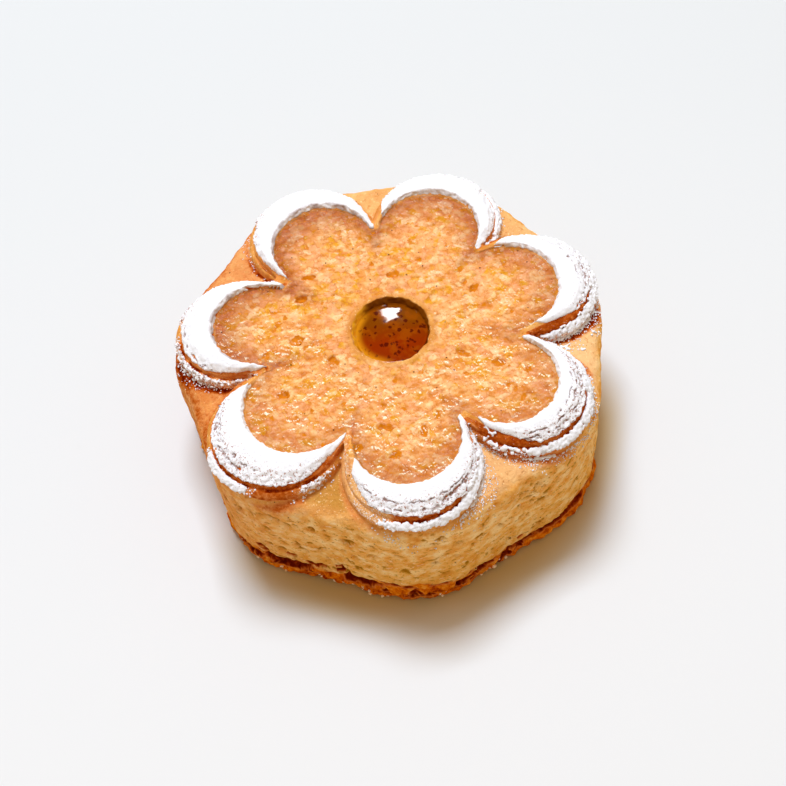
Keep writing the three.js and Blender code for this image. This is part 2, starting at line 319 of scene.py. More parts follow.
# Field: cobbled, with glazed pits.
top = np.flatnonzero(on_field > 0)
ground = skin[top]
grain = layered(ground, (0.22, 4.2, 2), (0.26, 1.7, 1), (0.22, 0.85, 3))
dents = list(FIELD_PITS)
for _ in range(SMALL_DENTS):
    away = 10 + 22 * math.sqrt(draw.random())
    around = draw.random() * 2 * math.pi
    size = draw.uniform(0.7, 1.8)
    dents.append((away * math.cos(around), away * math.sin(around), size, size * draw.uniform(0.5, 1),
                  draw.uniform(0, 180), draw.uniform(0.12, 0.28)))
pit_edge = layered(ground, (0.45, 1.3, 4), (0.25, 0.6, 17))
for x, y, length, width, turned, depth in dents:
    dx, dy = ground[:, 0] - x, ground[:, 1] - y
    reach = np.hypot(*oval(dx, dy, length, width, math.radians(turned))) + pit_edge
    hollow = 1 - ease(reach, 0.65, 1.05)
    collar = band(reach, 0.9, 1.15, 1.2, 1.7)
    grain += depth * (0.3 * collar - hollow)
    pit_and_shade[top] = np.maximum(pit_and_shade[top], hollow * min(1, depth * 2.0))
lift[top] += grain * on_field[top]
relief = np.full(len(skin), 0.5)
relief[top] += 0.9 * grain * on_field[top]

# Wall: soft swells, crumb, and slits that the dough tore open as it rose.
side = np.flatnonzero(on_wall > 0)
ground = skin[side]
crumb = layered(ground, (0.30, 5.0, 5), (0.20, 1.9, 6, 1.5), (0.12, 0.9, 7))
side_bearings = np.radians(plan["bearing"][side])
slit_edge = layered(ground, (0.45, 1.1, 8), (0.4, 0.6, 23))
for _ in range(SLITS):
    at = draw.uniform(-math.pi, math.pi)
    level = draw.uniform(*SLIT_LEVELS)
    length = draw.uniform(0.7, 2.0) + 2.4 * draw.random() ** 5
    width = length * draw.uniform(0.22, 0.45) + 0.3
    lean = SLIT_LEAN_RIGHT if math.cos(at) > 0.1 else SLIT_LEAN_LEFT
    lean = math.radians(draw.normal(lean, SLIT_LEAN_SPREAD))
    depth = draw.uniform(0.2, 0.75)
    along, across = oval(round_wall(side_bearings, at), ground[:, 2] - level, length, width, lean)
    hollow = 1 - ease(np.hypot(along, across) + slit_edge, 0.5, 1.05)
    # Painted shade under the slit's upper lip, kept with the pit's depth.
    lip_shade = 1 - ease(np.hypot(along * 1.1, (across - 0.25) * 1.3) + slit_edge, 0.45, 1.05)
    crumb -= depth * hollow
    pit_and_shade[side] = np.maximum(pit_and_shade[side], np.maximum(0.5 * hollow, lip_shade * (0.6 + 0.5 * depth)))
lift[side] += crumb * on_wall[side]

# Foot: a crumbly crust with gaps above it where the crumb has come away. It stands a little
# proud on the right, and runs into the wall at the front and the left.
near_floor = np.flatnonzero((z < 10) & (radius > 30))
ground = skin[near_floor]
foot_bearings = np.radians(plan["bearing"][near_floor])
hollow_edge = 0.45 * lumps(ground, 1.5, 9)
proud = band(ground[:, 2], 0.2, 0.9, 2.2, 2.9)
thin_foot = ease(towards(-10), 0.45, 0.75)
swell = 1 - ease(np.abs(ground[:, 2] - 3.0), 0.3, 1.1)
under_wall = on_foot[near_floor]
crust = thin_foot[near_floor] * (0.4 * proud - 0.4 * under_wall * ease(ground[:, 2], 2.6, 3.4))
crust += (1 - thin_foot[near_floor]) * (0.9 * swell + 0.2 * proud)
crust += layered(ground, (0.45, 2.4, 10), (0.5, 1.1, 11)) * under_wall * ease(ground[:, 2], 0.1, 0.8)
gap = np.zeros(len(near_floor))
hollows = list(FOOT_HOLLOWS)
for at in HIDDEN_HOLLOW_BEARINGS:
    hollows.append((at + draw.uniform(-3, 3), draw.uniform(2.6, 4.6), draw.uniform(3, 7),
                    draw.uniform(1.1, 1.9), draw.uniform(0.9, 1.5)))
for _ in range(SMALL_FOOT_HOLLOWS):
    hollows.append((draw.uniform(-152, -58), draw.uniform(1.0, 6.5), draw.uniform(1.0, 3.2),
                    draw.uniform(0.6, 1.4), draw.uniform(0.5, 1.0)))
for at, level, length, tall, depth in hollows:
    beside = round_wall(foot_bearings, math.radians(at))
    reach = np.hypot(beside / (length / 2), (ground[:, 2] - level) / (tall / 2)) + hollow_edge
    hollow = 1 - ease(reach, 0.7, 1.3)
    crust -= depth * hollow
    gap = np.maximum(gap, hollow)
lift[near_floor] += crust
skin = skin + facing * lift[:, None]

# Eye: the edge of the hole is not quite round.
around_eye = band(from_eye, 6.5, 7.0, 7.9, 8.8) * ease(z, 28.0, 29.5)
wander = around_eye * layered(skin, (0.28, 1.7, 24), (0.16, 0.7, 25))
skin[:, 0] += wander * (skin[:, 0] - EYE_OFFSET) / np.maximum(from_eye, 1)
skin[:, 1] += wander * skin[:, 1] / np.maximum(from_eye, 1)
skin[:, 2] = np.maximum(skin[:, 2], 0)

# Rolls, ledges and shoulders: only the unevenness of worked dough.
rolls = np.flatnonzero((z > 24) & (past_field > -0.3))
skin[rolls] += facing[rolls] * layered(skin[rolls], (0.14, 2.6, 12), (0.08, 1.0, 13))[:, None]
put_back(mesh, skin)
cake_surface = BVHTree.FromObject(cake, bpy.context.evaluated_depsgraph_get())

# Marks of baking, dusting and painted shade along the petals: petal, from and to as shares of
# the half petal, how strongly. The groove outside a roll is open along some stretches and choked
# with sugar along the others.
GROOVES = (
    (0, -0.25, 0.85, 1),
    (1, -0.30, 0.50, 1),
    (2, -0.90, -0.55, 1),
    (2, -0.30, 0.30, 1),
    (3, -0.95, -0.30, 1),
    (5, 0.86, 0.98, 1),
    (6, 0.15, 0.95, 1),
)
DUSTED_LEDGES = (
    (0, 0.66, 0.98, 0.55),
    (1, -0.75, -0.20, 0.40),
    (2, -0.98, -0.50, 0.45),
    (3, -0.98, -0.25, 0.80),
    (4, -0.98, -0.40, 0.85),
    (5, 0.30, 0.75, 0.30),
    (6, 0.05, 0.98, 0.70),
)
# Painted shade with browning below the ledges, on stretches facing the front.
SHADED_LEDGES = (
    (0, 0.20, 0.75, 0.16),
    (1, -0.98, -0.35, 0.10),
    (2, -0.90, -0.20, 0.30),
    (2, 0.60, 1.00, 0.50),
    (3, -1.00, -0.45, 0.66),
    (5, 0.88, 1.00, 0.40),
    (6, 0.30, 1.00, 0.42),
)
BAKED_LEDGES = ((0, 0.24, 0.70, 1), (2, -0.98, -0.50, 1))  # browned, with little sugar on them
BAKED_SHOULDERS = ((0, 0.05, 0.60, 0.22),)  # below the petal at the front left
PALE_FLAPS = ((1, -1.00, -0.32, 1.0),)  # bare pale dough left of the front petal's sugar
FIELD_HORNS = ((1, -1.10, -0.84, 1),)  # the field runs on past the front petal's left end
OLIVE_VALLEYS = ((0, 0.62, 1.05, 0.85), (1, -1.05, -0.80, 0.85))  # both sides of one valley
# One value for each petal.
ROLL_BAKE = np.array([0.42, 0.40, 0.46, 0.46, 0.30, 0.16, 0.26])
ROLL_FOOT_BROWN_AND_SHADE = np.array([0.3, 0.1, 0.1, 0.3, 0.3, 0.5, 0.8])
FIELD_ROSY = np.array([0.55, 0.75, 0.6, 0.75, 0.9, 1.0, 1.0])
FIELD_EDGE_ROSY = np.array([0, 0, 0, 0.1, 0.35, 0.7, 0.55])
AMBER_BEARING = math.radians(195)


def along_petals(runs):
    """How strongly each place is marked by runs of petal, start, stop and strength."""
    marked = np.zeros(len(skin))
    for number, start, stop, strength in runs:
        stretch = band(share, start - 0.1, start + 0.1, stop - 0.05, stop + 0.1)
        marked = np.maximum(marked, strength * stretch * (petal == number))
    return marked


def amber_side(points):
    """1 on the side of the eye where light comes through the jam, -1 on the other."""
    return np.cos(np.arctan2(points[:, 1], points[:, 0] - EYE_OFFSET) - AMBER_BEARING)


left_side = np.clip(towards(175), 0, 1)
right_side = np.clip(towards(-15), 0, 1)
far_side = np.clip(towards(105), 0, 1)
opened = along_petals(GROOVES)
# Painted shade with browning in the groove outside each roll, darker where the groove is open.
groove = band(past_roll, -0.35, 0.0, 0.3, 0.7) * band(z, 27.6, 28.4, 30.0, 30.6)
groove *= ease(lumps(skin, 1.5, 22), -0.6, -0.1)
# A dark line along the foot of each roll beside the field, strongest on the far petals: painted shade with
# browning.
roll_foot = (1 - ease(np.abs(past_field + 0.1), 0.2, 0.6)) * ease(z, 30.6, 31.0) * ROLL_FOOT_BROWN_AND_SHADE[petal]
# Painted shade with browning under the ledges, deeper along SHADED_LEDGES.
shaded = along_petals(SHADED_LEDGES)
under_ledge = band(past_ledge, -0.7, 0.0, 0.2 + shaded, 2.4 + 1.4 * shaded) * ease(z, 22.5, 26.5)
flap = along_petals(PALE_FLAPS) * ease(past_field, 0.2, 0.6) * (1 - ease(past_ledge, -0.3, 0.0))
flap *= ease(z, 27, 28)
roll_wall = ease(plan["across"], 0.3, 0.45) * (1 - ease(past_roll, 0.1, 0.5)) * ease(z, 28.4, 29.0)
ledge_top = ease(past_roll, 0.1, 0.6) * (1 - ease(past_ledge, -0.2, 0.3)) * ease(z, 26.8, 27.4)
# Painted shade with browning: a dark crack along the top of the base crust on the right.
foot_crack = on_foot * (1 - ease(np.abs(z - 2.9), 0.3, 0.9)) * ease(lumps(skin, 3.0, 16, 0.3), -0.45, -0.1)
# How browned each place is, with painted shade in the grooves, cracks and gaps and under the
# ledges: 0 is pale crumb, 1 the dark crevices.
brown_and_shade = np.maximum.reduce([
    groove * (0.15 + 0.65 * opened),
    0.7 * roll_foot,
    (ROLL_BAKE[petal] + 0.12 * opened) * roll_wall * (1 - 0.9 * flap),
    0.5 * ledge_top * along_petals(BAKED_LEDGES),
    (0.14 + shaded) * under_ledge,
    along_petals(BAKED_SHOULDERS) * on_shoulder,
    0.85 * thin_foot * foot_crack,
])
# Painted shade with browning in the gaps above the base crust.
brown_and_shade[near_floor] = np.maximum(brown_and_shade[near_floor], 0.95 * ease(gap, 0.2, 0.5))
brown_and_shade += 0.36 * left_side * (on_wall + on_shoulder)
rosy = FIELD_ROSY[petal] * ease(past_field, -10, -0.3) + FIELD_EDGE_ROSY[petal] * ease(past_field, -3.2, -0.2)
front_valley = ease(np.abs(share), 0.55, 0.95) * ease(towards(-90), 0.5, 0.8)
# Painted light: the shoulders paler on the right, on the far side and in the front valleys.
pale_and_lit = np.maximum.reduce([right_side, 0.45 * far_side, 0.2 * front_valley])
field_horn = along_petals(FIELD_HORNS) * (1 - ease(past_roll, -0.4, 0.0)) * ease(z, 29.5, 30.0)
dusted = along_petals(DUSTED_LEDGES) * ledge_top + 0.24 * right_side * on_shoulder
wet_reach = 7.2 + 0.35 * np.clip(skin[:, 1] / np.maximum(from_eye, 1), 0, 1)
wet = 1 - ease(from_eye + 0.12 * lumps(skin, 1.4, 20) - wet_reach, 0, 0.2)
surface_marks = {
    "field": np.maximum(on_field, field_horn),
    "crumb": on_wall,
    "foot": on_foot,
    "skin": on_shoulder,
    "eye": wet * ease(z, 18, 19),
    "amber": ease(amber_side(skin), 0.2, 0.6),
    "brown_and_shade": np.clip(brown_and_shade, 0, 1),
    "pit_and_shade": np.clip(pit_and_shade, 0, 1),
    "relief": np.clip(relief, 0, 1),
    "rosy": np.clip(rosy * on_field, 0, 1),
    # Where the painted light and shade of the field's cobbles and flakes, and its painted glints, are
    # strongest.
    "lit_relief_zone": ease(from_eye, 9.5, 13.5) * (0.35 + 0.65 * ease(towards(-90), -0.5, 0.3)),
    "olive": along_petals(OLIVE_VALLEYS) * on_shoulder * (1 - ease(radius, 35.8, 38.0)),
    "pale_and_lit": np.maximum(pale_and_lit * on_shoulder, 0.45 * flap),
    "dust": dusted + 0.18 * flap + 0.30 * roll_wall,
}
for name, values in surface_marks.items():
    attribute(mesh, name, values)


def tint(red, green, blue):
    """A colour as it looks, 0 to 255, as the shader takes it."""
    shares = (red / 255, green / 255, blue / 255)
    return tuple(s / 12.92 if s <= 0.04045 else ((s + 0.055) / 1.055) ** 2.4 for s in shares) + (1.0,)


def material(name):
    made = bpy.data.materials.new(name)
    made.use_nodes = True
    return made, made.node_tree, made.node_tree.nodes["Principled BSDF"]


def node(tree, kind, inputs=None, **settings):
    made = tree.nodes.new("ShaderNode" + kind)
    for name, value in settings.items():
        setattr(made, name, value)
    for socket, value in (inputs or {}).items():
        if isinstance(value, bpy.types.NodeSocket):
            tree.links.new(value, made.inputs[socket])
        else:
            made.inputs[socket].default_value = value
    return made


def here(tree):
    return node(tree, "TexCoord").outputs["Object"]


def stretched(tree, scale):
    return node(tree, "Mapping", {"Vector": here(tree), "Scale": scale}).outputs["Vector"]


def shifted(tree, vector, step):
    return node(tree, "VectorMath", {0: vector, 1: step}, operation="ADD").outputs["Vector"]


def cloud(tree, cell, vector, detail=3.0, roughness=0.55):
    """Noise with features of one cell, in millimetres."""
    inputs = {"Vector": vector, "Scale": 1 / (cell * MM), "Detail": detail, "Roughness": roughness}
    return node(tree, "TexNoise", inputs).outputs["Fac"]


def cells(tree, cell, vector, feature="F1", **inputs):
    """Chunks of about one cell, in millimetres."""
    return node(tree, "TexVoronoi", {"Vector": vector, "Scale": 1 / (cell * MM)} | inputs, feature=feature)


def wandering(tree, vector, cell, reach, detail):
    """The vector pushed about by noise, as far as the reach in millimetres, for ragged chunks."""
    push = node(tree, "TexNoise", {"Vector": vector, "Scale": 1 / (cell * MM), "Detail": detail})
    push = node(tree, "VectorMath", {0: push.outputs["Color"], 1: (reach * MM,) * 3}, operation="MULTIPLY")
    return shifted(tree, vector, push.outputs["Vector"])


def painted(tree, name):
    return node(tree, "Attribute", attribute_name=name).outputs["Fac"]


def between(tree, value, low, high, bottom=0.0, top=1.0):
    """Bottom where the value is low, top where it is high, smooth between."""
    inputs = {"Value": value, "From Min": low, "From Max": high, "To Min": bottom, "To Max": top}
    return node(tree, "MapRange", inputs, interpolation_type="SMOOTHSTEP").outputs["Result"]


def maths(tree, operation, a, b, c=None):
    inputs = {0: a, 1: b}
    if c is not None:
        inputs[2] = c
    return node(tree, "Math", inputs, operation=operation).outputs["Value"]


def slope(tree, cell, vector, step, detail, roughness=0.55):
    """How much noise falls over a step in millimetres: the lit and the shaded edges of its forms."""
    stepped = shifted(tree, vector, tuple(d * MM for d in step))
    return maths(tree, "SUBTRACT", cloud(tree, cell, vector, detail, roughness),
                 cloud(tree, cell, stepped, detail, roughness))


def mixed(tree, share, a, b, how="MIX"):
    return node(tree, "Mix", {0: share, 6: a, 7: b}, data_type="RGBA", blend_type=how).outputs[2]


def brushed(tree, under, colour, value, start, full, strength=1.0):
    """A colour laid over another: not where the value is start, at its strength where it is full."""
    return mixed(tree, between(tree, value, start, full, 0.0, strength), under, colour)


def ramp(tree, value, *stops):
    made = node(tree, "ValToRGB", {"Fac": value})
    marks = made.color_ramp.elements
    while len(marks) < len(stops):
        marks.new(0.5)
    for mark, (position, colour) in zip(marks, stops):
        mark.position = position
        mark.color = colour
    return made.outputs["Color"]


dough, tree, shader = material("baked_dough")
spot = here(tree)
# Egg-washed field: peach and cobbled, with chunks of amber glaze, cream and pink ones between,
# amber in the pits, and rosier towards the rolls. Painted shade lies in its dips and in the creases
# between chunks, painted light on its crests, painted light and shade on the sides of its cobbles
# and flakes, and tiny painted white glints along the chunks.
PINK_CHUNK = tint(240, 164, 122)
CREAM_CHUNK = tint(255, 218, 164)
AMBER_GLAZE = tint(228, 156, 20)
CHUNK_CREASE_SHADE = tint(206, 110, 30)
DIP_SHADE = tint(216, 126, 40)
CREST_HIGHLIGHT = tint(254, 208, 150)
COBBLE_SHADE = tint(212, 122, 40)
COBBLE_LIGHT = tint(255, 212, 150)
ROSY_CAST = (0.55, 0.38, 0.38, 1)
GLAZED_PIT = tint(214, 122, 6)
DARK_FLECK = tint(190, 92, 26)
FINE_FLECK = tint(204, 112, 44)
FLAKE_SHADE = tint(212, 124, 26)
PAINTED_GLINT = tint(255, 246, 218)
CHUNK_SIZE = 1.5
field_colour = ramp(tree, cloud(tree, 2.6, spot, 2.5, 0.55),
                    (0.30, tint(227, 143, 72)), (0.44, tint(238, 162, 94)), (0.56, tint(243, 174, 108)),
                    (0.70, tint(249, 191, 129)))
ochre = between(tree, cloud(tree, 3.4, stretched(tree, (1, 1.3, 1)), 3.5, 0.65), 0.44, 0.58)
wobble = wandering(tree, spot, 0.9, 1.1, 2.0)
chunk = cells(tree, CHUNK_SIZE, wobble)
kind = node(tree, "SeparateColor", {"Color": chunk.outputs["Color"]})
amber = between(tree, kind.outputs["Red"], 0.56, 0.64)
amber = maths(tree, "MULTIPLY", amber, maths(tree, "MULTIPLY_ADD", ochre, 0.75, 0.15))
field_colour = brushed(tree, field_colour, PINK_CHUNK, kind.outputs["Blue"], 0.60, 0.75, 0.4)
field_colour = brushed(tree, field_colour, CREAM_CHUNK, kind.outputs["Green"], 0.78, 0.86, 0.55)
field_colour = mixed(tree, amber, field_colour, AMBER_GLAZE)
# Painted shade in the creases between the chunks, in patches.
crease_shade = cells(tree, CHUNK_SIZE, wobble, "DISTANCE_TO_EDGE").outputs["Distance"]
crease_shade = between(tree, crease_shade, 0.10, 0.03, 0.0, 0.55)
crease_shade = maths(tree, "MULTIPLY", crease_shade, between(tree, cloud(tree, 1.6, spot), 0.46, 0.58))
field_colour = mixed(tree, crease_shade, field_colour, CHUNK_CREASE_SHADE)
# Painted shade in the dips of the relief, and a painted highlight on its crests.
field_colour = brushed(tree, field_colour, DIP_SHADE, painted(tree, "relief"), 0.46, 0.20, 0.55)
field_colour = brushed(tree, field_colour, CREST_HIGHLIGHT, painted(tree, "relief"), 0.58, 0.80, 0.45)
calm = maths(tree, "MULTIPLY_ADD", painted(tree, "lit_relief_zone"), 0.5, 0.5)
# Painted light and shade: each cobble lighter on the sides facing the back and darker on those facing the
# front.
cobble_light_and_shade = maths(tree, "MULTIPLY", slope(tree, 2.6, spot, (0.2, 0.9, 0), 1.5), calm)
field_colour = brushed(tree, field_colour, COBBLE_SHADE, cobble_light_and_shade, -0.06, -0.16, 0.5)
field_colour = brushed(tree, field_colour, COBBLE_LIGHT, cobble_light_and_shade, 0.06, 0.16, 0.45)
field_colour = mixed(tree, painted(tree, "rosy"), field_colour, ROSY_CAST, "MULTIPLY")
ragged_pit_and_shade = maths(tree, "SUBTRACT", painted(tree, "pit_and_shade"), 0.25)
ragged_pit_and_shade = maths(tree, "MULTIPLY_ADD", cloud(tree, 0.6, spot, 2.0), 0.5, ragged_pit_and_shade)
field_colour = brushed(tree, field_colour, GLAZED_PIT, ragged_pit_and_shade, 0.22, 0.40, 0.95)
field_colour = brushed(tree, field_colour, DARK_FLECK, cloud(tree, 0.55, spot, 2.0, 0.6), 0.38, 0.30, 0.5)
field_colour = brushed(tree, field_colour, FINE_FLECK, cloud(tree, 0.34, spot, 2.0, 0.7), 0.40, 0.30, 0.5)
# Painted light and shade on small flakes: darker on the sides facing the front, with painted white glints on
# the sides facing the back.
crisp = maths(tree, "MULTIPLY_ADD", painted(tree, "lit_relief_zone"), 0.25, 0.75)
flake_light_and_shade = maths(tree, "MULTIPLY", slope(tree, 0.9, spot, (0.1, 0.34, 0), 3.0, 0.7), crisp)
field_colour = brushed(tree, field_colour, FLAKE_SHADE, flake_light_and_shade, -0.05, -0.12, 0.6)
painted_glints = maths(tree, "MULTIPLY", between(tree, flake_light_and_shade, 0.08, 0.13, 0.0, 0.95), painted(tree, "lit_relief_zone"))
painted_glints = maths(tree, "MULTIPLY", painted_glints, between(tree, ochre, 0.2, 0.9, 0.1, 1.0))
field_colour = mixed(tree, painted_glints, field_colour, PAINTED_GLINT)
# Crumb of the wall: tan and peach, with painted light and shade where it faces up and down,
# olive in the slits, and painted shade deep in the slits and under their upper lips.
LOW_CRUMB = tint(232, 172, 56)
PORE = tint(204, 138, 10)
TORN_LIGHT = tint(255, 224, 176)
TORN_SHADE = tint(176, 116, 16)
SLIT = tint(200, 138, 34)
SLIT_SHADE = tint(160, 102, 0)
wall_colour = ramp(tree, cloud(tree, 2.6, stretched(tree, (1, 1, 1.3)), 4.0, 0.6),
                   (0.32, tint(230, 146, 54)), (0.48, tint(245, 180, 93)), (0.64, tint(255, 214, 148)))
above_floor = node(tree, "SeparateXYZ", {"Vector": spot}).outputs["Z"]
wall_colour = brushed(tree, wall_colour, LOW_CRUMB, above_floor, 20 * MM, 6 * MM, 0.25)
wall_colour = brushed(tree, wall_colour, PORE, cloud(tree, 0.8, spot, 3.0, 0.65), 0.60, 0.68, 0.7)
# Painted light and shade: crumb lighter where it faces up and darker where it faces down.
torn_light_and_shade = slope(tree, 1.9, stretched(tree, (1, 1, 1.1)), (0, 0, 0.45), 3.0, 0.65)
wall_colour = brushed(tree, wall_colour, TORN_LIGHT, torn_light_and_shade, 0.07, 0.15, 0.6)
wall_colour = brushed(tree, wall_colour, TORN_SHADE, torn_light_and_shade, -0.07, -0.15, 0.7)
# Olive in the slits, with painted shade deep in them and under their upper lips.
wall_colour = brushed(tree, wall_colour, SLIT, ragged_pit_and_shade, 0.12, 0.40, 0.65)
wall_colour = brushed(tree, wall_colour, SLIT_SHADE, ragged_pit_and_shade, 0.30, 0.58, 0.85)
# Shoulders and rolls: smooth golden skin, paler as painted light on the right, on the far side
# and in the front valleys, and pale where bare dough shows on the front petal's flap.
LIT_AND_PALE_SKIN = tint(254, 206, 150)
OLIVE_SKIN = tint(192, 136, 56)
SKIN_MOTTLE = tint(198, 116, 36)
SKIN_GLINT = tint(255, 226, 170)
SKIN_SPOT = tint(170, 90, 20)
skin_colour = ramp(tree, cloud(tree, 4.0, spot, 3.0),
                   (0.3, tint(204, 124, 44)), (0.5, tint(220, 148, 70)), (0.72, tint(240, 180, 106)))
skin_colour = mixed(tree, maths(tree, "MULTIPLY", painted(tree, "pale_and_lit"), 0.7), skin_colour, LIT_AND_PALE_SKIN)
skin_colour = mixed(tree, painted(tree, "olive"), skin_colour, OLIVE_SKIN)
skin_colour = brushed(tree, skin_colour, SKIN_MOTTLE, cloud(tree, 1.1, spot, 3.0, 0.65), 0.56, 0.70, 0.5)
# Painted glints: small pale flecks on the skin.
skin_colour = brushed(tree, skin_colour, SKIN_GLINT, cloud(tree, 0.45, spot, 2.0, 0.7), 0.60, 0.70, 0.7)
skin_colour = brushed(tree, skin_colour, SKIN_SPOT, cloud(tree, 0.7, spot, 3.0, 0.7), 0.40, 0.30, 0.7)
# Base crust and the eye's wet wall, and over everything the brown of baking with its painted
# shade in the crevices.
WET_WALL = tint(118, 58, 2)
WET_WALL_LIT = tint(238, 164, 34)
foot_colour = ramp(tree, cloud(tree, 1.5, spot, 4.0, 0.65),
                   (0.32, tint(150, 40, 0)), (0.46, tint(214, 102, 4)), (0.56, tint(236, 132, 16)),
                   (0.70, tint(255, 180, 72)))
coated = mixed(tree, painted(tree, "amber"), WET_WALL, WET_WALL_LIT)
colour = mixed(tree, painted(tree, "crumb"), skin_colour, wall_colour)
colour = mixed(tree, painted(tree, "field"), colour, field_colour)
colour = mixed(tree, painted(tree, "foot"), colour, foot_colour)
colour = mixed(tree, painted(tree, "eye"), colour, coated)
uneven = maths(tree, "MULTIPLY_ADD", cloud(tree, 1.0, spot, 4.0, 0.65), 1.8, -0.9)
browned_and_shaded = maths(tree, "ADD", painted(tree, "brown_and_shade"), maths(tree, "MULTIPLY", uneven, painted(tree, "brown_and_shade")))
brown = ramp(tree, browned_and_shaded, (0.0, tint(244, 180, 108)), (0.3, tint(226, 134, 76)), (0.5, tint(192, 92, 24)),
             (0.75, tint(146, 46, 2)), (1.0, tint(104, 20, 0)))
colour = brushed(tree, colour, brown, browned_and_shaded, 0.05, 0.55)
# Sugar dusted thinly over it, and a few specks of burnt flour.
SUGAR_DUST = tint(246, 232, 224)
BURNT_FLOUR = tint(78, 30, 8)
dust = maths(tree, "MULTIPLY_ADD", painted(tree, "dust"), 0.6, cloud(tree, 0.32, spot, 2.0, 0.6))
colour = brushed(tree, colour, SUGAR_DUST, dust, 0.84, 0.96)
colour = brushed(tree, colour, BURNT_FLOUR, cells(tree, 2.6, spot).outputs["Distance"], 0.07, 0.05)
tree.links.new(colour, shader.inputs["Base Color"])
# Roughness: matt crumb, a patchy gloss on the field and the skin, wet in the eye.
gloss = between(tree, cloud(tree, 2.2, spot), 0.35, 0.60, 0.38, 0.60)
shine = between(tree, cloud(tree, 1.8, spot, 3.0), 0.48, 0.62, 0.0, 0.3)
matt = maths(tree, "SUBTRACT", 0.72, maths(tree, "MULTIPLY", painted(tree, "field"), gloss))
matt = maths(tree, "MULTIPLY_ADD", painted(tree, "pit_and_shade"), -0.10, matt)
matt = maths(tree, "MULTIPLY_ADD", painted(tree, "skin"), maths(tree, "MULTIPLY", shine, -1.0), matt)
matt = maths(tree, "MULTIPLY_ADD", painted(tree, "eye"), -0.55, matt)
tree.links.new(matt, shader.inputs["Roughness"])
# Fine grit all over, and bubbles in the field's glaze.
smooth = maths(tree, "MULTIPLY_ADD", painted(tree, "field"), -0.75, 1.0)
grit = maths(tree, "MULTIPLY", cloud(tree, 0.5, spot, 3.0, 0.7), smooth)
grit = maths(tree, "MULTIPLY_ADD", cloud(tree, 1.2, spot), 0.9, grit)
for bubble in (2.1, 1.1):
    bubbles = cells(tree, bubble, spot, "SMOOTH_F1", Smoothness=0.3).outputs["Distance"]
    bubbles = maths(tree, "MULTIPLY", bubbles, painted(tree, "field"))
    grit = maths(tree, "MULTIPLY_ADD", bubbles, -0.8, grit)
grit_strength = maths(tree, "MULTIPLY_ADD", painted(tree, "field"), 0.35, 0.45)
grit_strength = maths(tree, "MULTIPLY_ADD", painted(tree, "eye"), -0.4, grit_strength)
grit_strength = maths(tree, "MULTIPLY_ADD", painted(tree, "skin"), 0.3, grit_strength)
bump = node(tree, "Bump", {"Height": grit, "Strength": grit_strength, "Distance": 0.4 * MM})
tree.links.new(bump.outputs["Normal"], shader.inputs["Normal"])
shader.inputs["Specular IOR Level"].default_value = 0.0
cake.data.materials.append(dough)
# The egg wash shines on the field and in the eye, and nowhere else.
egg_wash = dough.copy()
egg_wash.name = "egg_washed_dough"
egg_wash.node_tree.nodes["Principled BSDF"].inputs["Specular IOR Level"].default_value = 0.25
cake.data.materials.append(egg_wash)
washed = (on_field > 0.5) | (from_eye < EYE_EDGE[1]) & (z > EYE_FLOOR[0])
for face in mesh.polygons:
    face.material_index = int(washed[list(face.vertices)].all())
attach(cake, "root")
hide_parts("pastry")

# The jam is a clear amber fruit gel, spooned into the eye and set with a slight dome. Dark
# bits of skin hang in it. At its edge it creeps up the wall of the eye.
JAM_RADIUS = 6.3
DOME_LEVEL = 29.5
DOME_RISE = 0.7
EDGE_RISE = 0.5
EDGE_SPREAD = 0.10
DARK_JAM = tint(140, 42, 1)
OLIVE_JAM = tint(124, 60, 2)
CLEAR_JAM = tint(160, 76, 3)
LIT_JAM = tint(214, 136, 18)
FRUIT_SKIN = tint(78, 12, 4)
jam = copy_of("jam", "jam_eye")
pair_triangles()
finish_with(jam, "SUBSURF", levels=2, render_levels=2)
bpy.ops.object.shade_smooth()
gel = places(jam.data)
from_axis = eye_distance(gel)
domed = ease(gel[:, 2], 29.1, 29.4)
dome = DOME_LEVEL + DOME_RISE * (1 - (from_axis / JAM_RADIUS) ** 2)
dome += EDGE_RISE * ease(from_axis, 5.8, 6.4) ** 2
gel[:, 2] += (dome + 0.05 * lumps(gel, 3.0, 21) - gel[:, 2]) * domed
meets_wall = ease(gel[:, 2], 28.3, 29.2) * ease(from_axis, 4.6, 6.2)
gel[:, 0] += (gel[:, 0] - EYE_OFFSET) * EDGE_SPREAD * meets_wall
gel[:, 1] += gel[:, 1] * EDGE_SPREAD * meets_wall
put_back(jam.data, gel)
attribute(jam.data, "amber", ease(amber_side(gel), 0.25, 0.7) * ease(from_axis, 5.0, 6.2))
gel_stuff, tree, shader = material("apricot_gel")
spot = here(tree)
to_back = node(tree, "SeparateXYZ", {"Vector": spot}).outputs["Y"]
to_back = maths(tree, "ADD", to_back, maths(tree, "MULTIPLY", cloud(tree, 3.0, spot), 4 * MM))
jam_colour = mixed(tree, between(tree, to_back, 0, 6 * MM), DARK_JAM, OLIVE_JAM)
jam_colour = brushed(tree, jam_colour, CLEAR_JAM, cloud(tree, 2.4, spot, 3.0), 0.45, 0.65, 0.5)
jam_colour = mixed(tree, painted(tree, "amber"), jam_colour, LIT_JAM)
bits = cells(tree, 1.15, wandering(tree, spot, 0.7, 0.5, 1.0)).outputs["Distance"]
bit_size = between(tree, cloud(tree, 1.1, spot, 3.0), 0.36, 0.62, 0.08, 0.46)
bits = between(tree, maths(tree, "SUBTRACT", bits, bit_size), 0.05, -0.04, 0, 0.85)
bits = maths(tree, "MULTIPLY", bits, maths(tree, "SUBTRACT", 1.0, painted(tree, "amber")))
jam_colour = mixed(tree, bits, jam_colour, FRUIT_SKIN)
tree.links.new(jam_colour, shader.inputs["Base Color"])
shader.inputs["Roughness"].default_value = 0.06
